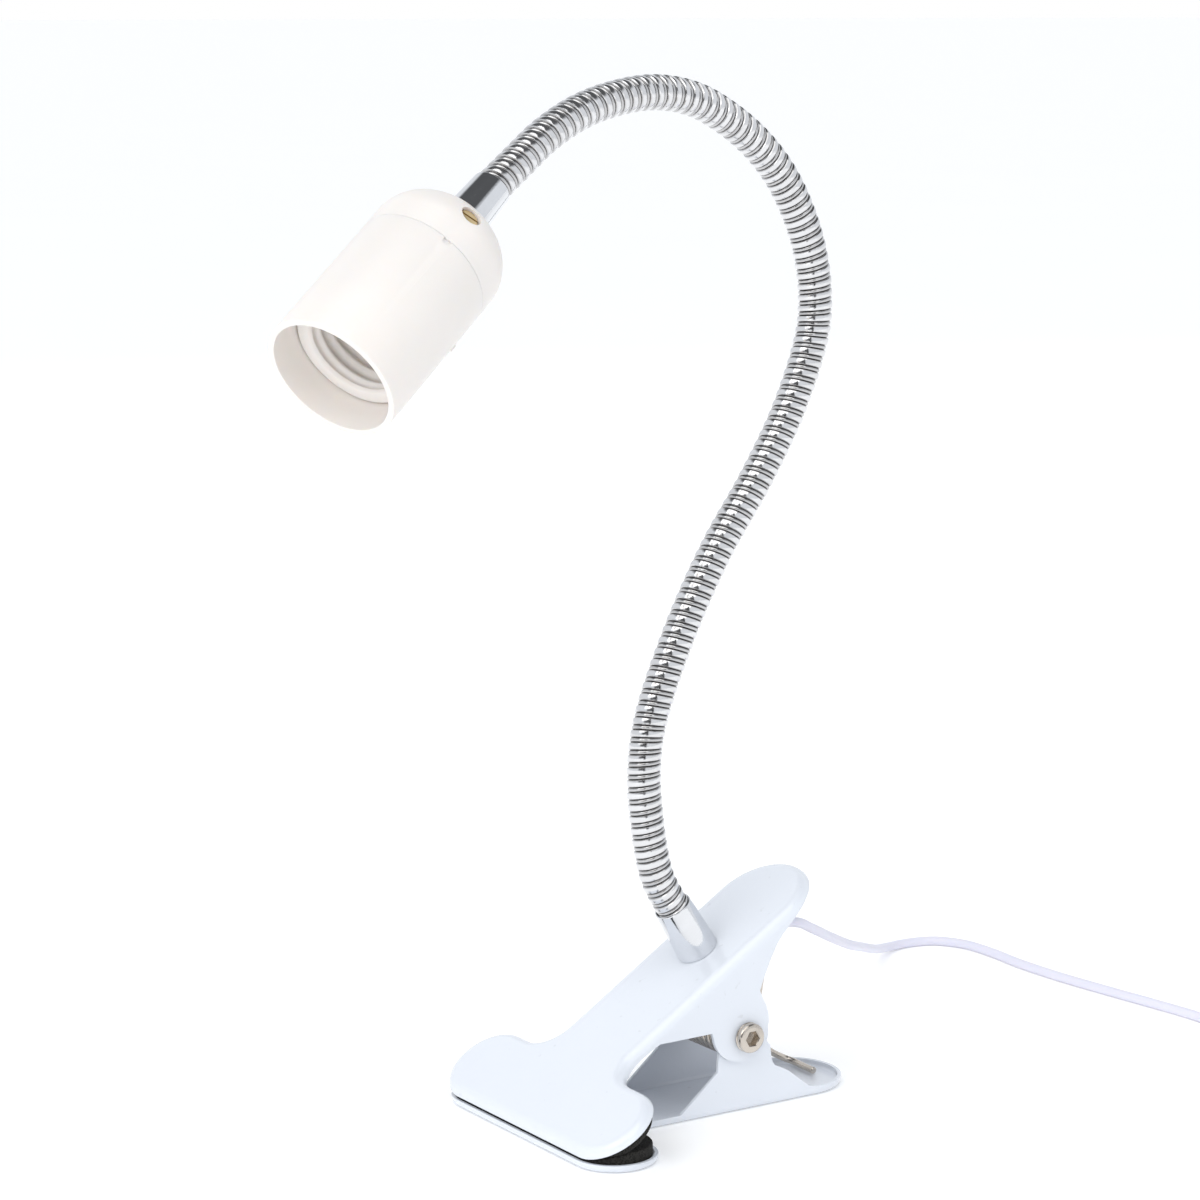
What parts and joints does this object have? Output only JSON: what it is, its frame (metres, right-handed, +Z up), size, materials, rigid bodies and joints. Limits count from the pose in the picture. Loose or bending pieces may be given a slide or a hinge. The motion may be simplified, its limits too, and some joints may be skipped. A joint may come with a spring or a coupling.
{
  "type": "clip-on reading lamp",
  "caption": "Spring-clamp reading lamp: white stamped jaws with foam pads, bright flexible gooseneck, screw lamp holder, free mains cord and flat plug.",
  "frame": {"origin": "on the flat underside of the lower jaw, straight below the hinge pin of the clamp", "axes": "+Z up away from the surface the lamp stands on, +X from the jaw mouth towards the squeezed handles, +Y along the hinge pin"},
  "size_m": [0.4085, 0.2044, 0.2949],
  "materials": {
    "white_paint": "glossy slightly bluish white stoved paint on stamped steel",
    "foam": "matt closed-cell foam",
    "nickel": "warm bright nickel plate",
    "chrome": "bright chrome plate",
    "zinc_steel": "zinc plated steel",
    "brass": "plain brass",
    "holder_plastic": "warm white satin moulded plastic",
    "ceramic_block": "unglazed ceramic",
    "cord_white": "smooth soft white sheath",
    "tie_black": "soft black tie",
    "copper": "bare copper strand"
  },
  "bodies": {
    "base": {"lower_jaw": "white_paint", "lower_pad": "foam", "pivot_screw": "nickel", "pivot_nut": "nickel", "pivot_spring": "nickel", "supply_cord": "cord_white", "cord_coil": "cord_white", "cord_tie": "tie_black", "plug_body": "cord_white", "plug_pin_l": "brass", "plug_pin_n": "brass"},
    "upper": {"upper_jaw": "white_paint", "upper_pad": "foam", "base_sleeve": "chrome", "base_nipple": "brass", "base_washer": "zinc_steel", "base_nut": "zinc_steel", "cord_grip": "cord_white", "foot_lead": "cord_white", "neck_link_1": "chrome", "neck_lead_1": "cord_white"},
    "neck_2": {"neck_link_2": "chrome", "neck_lead_2": "cord_white"},
    "neck_3": {"neck_link_3": "chrome", "neck_lead_3": "cord_white"},
    "neck_4": {"neck_link_4": "chrome", "neck_lead_4": "cord_white"},
    "neck_5": {"neck_link_5": "chrome", "neck_lead_5": "cord_white"},
    "neck_6": {"neck_link_6": "chrome", "neck_lead_6": "cord_white"},
    "neck_7": {"neck_link_7": "chrome", "neck_lead_7": "cord_white"},
    "holder": {"neck_link_8": "chrome", "neck_lead_8": "cord_white", "top_sleeve": "chrome", "holder_cap": "holder_plastic", "cap_grub_screw": "brass", "holder_skirt": "holder_plastic", "thread_insert": "holder_plastic", "contact_block": "ceramic_block", "centre_contact": "brass", "side_contact": "brass", "terminal_screw_l": "brass", "terminal_screw_n": "brass", "lead_wire_l": "copper", "lead_wire_n": "copper"}
  },
  "joints": [
    {"name": "jaw_hinge", "type": "hinge", "parent": "base", "child": "upper", "pos_m": [0, 0, 0.0225], "axis": [0, 1, 0], "range_deg": [0, 40], "stiffness_Nm_per_rad": 0.9, "springref_deg": -63.03, "deforming": ["pivot_spring", "supply_cord"]},
    {"name": "neck_bend_1", "type": "hinge", "parent": "upper", "child": "neck_2", "pos_m": [-0.02326, 0.00053, 0.08761], "axis": [0.0039, 0.9991, -0.043], "range_deg": [-20, 20]},
    {"name": "neck_sway_1", "type": "hinge", "parent": "neck_2", "child": "neck_3", "pos_m": [-0.0126, 0.00263, 0.1335], "axis": [0.8942, 0, -0.4477], "range_deg": [-20, 20]},
    {"name": "neck_bend_2", "type": "hinge", "parent": "neck_3", "child": "neck_4", "pos_m": [0.01311, 0.0047, 0.17386], "axis": [-0.0255, 0.9991, -0.0332], "range_deg": [-20, 20]},
    {"name": "neck_sway_2", "type": "hinge", "parent": "neck_4", "child": "neck_5", "pos_m": [0.03664, 0.00642, 0.21541], "axis": [0.9486, 0, -0.3166], "range_deg": [-20, 20]},
    {"name": "neck_bend_3", "type": "hinge", "parent": "neck_5", "child": "neck_6", "pos_m": [0.02894, 0.00574, 0.26115], "axis": [-0.0217, 0.9992, 0.0343], "range_deg": [-20, 20]},
    {"name": "neck_sway_3", "type": "hinge", "parent": "neck_6", "child": "neck_7", "pos_m": [-0.00906, 0.00148, 0.28841], "axis": [0.236, 0, 0.9718], "range_deg": [-20, 20]},
    {"name": "neck_bend_4", "type": "hinge", "parent": "neck_7", "child": "holder", "pos_m": [-0.05519, -0.00705, 0.28294], "axis": [-0.2034, 0.975, -0.0899], "range_deg": [-20, 20]}
  ]
}
